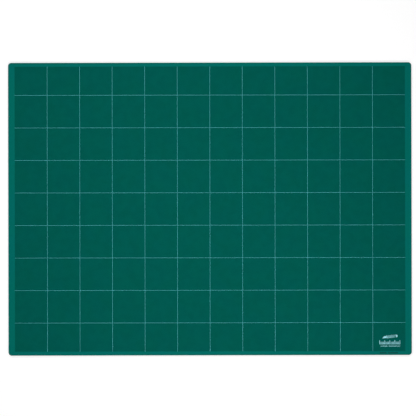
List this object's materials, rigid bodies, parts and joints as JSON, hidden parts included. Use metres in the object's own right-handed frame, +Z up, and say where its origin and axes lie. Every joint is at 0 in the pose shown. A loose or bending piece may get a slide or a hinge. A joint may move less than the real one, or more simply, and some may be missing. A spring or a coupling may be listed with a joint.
{
  "type": "self-healing cutting mat",
  "caption": "Thin rectangular self-healing cutting mat with small round corners: a soft green skin on a stiff core, with a dark printed field, a pale square grid and a plain border.",
  "frame": {"origin": "centre of the underside, which is the plane that the mat rests on", "axes": "+X along the long side, +Y along the short side away from the user, +Z up out of the printed working face"},
  "size_m": [0.62, 0.45, 0.003],
  "materials": {
    "healing_skin": "satin",
    "backing": "matte",
    "core": "matte",
    "field_ink": "satin",
    "line_ink": "matte",
    "dark_ink": "matte"
  },
  "bodies": {
    "root": {"bottom_skin": "healing_skin", "lower_backing_ply": "backing", "stiff_core": "core", "upper_backing_ply": "backing", "top_skin": "healing_skin", "field_ink": "field_ink", "grid_lines": "line_ink", "knife_mark": "line_ink", "scale_mark": "line_ink", "dash_mark": "line_ink", "border_mark": "dark_ink"}
  },
  "joints": []
}
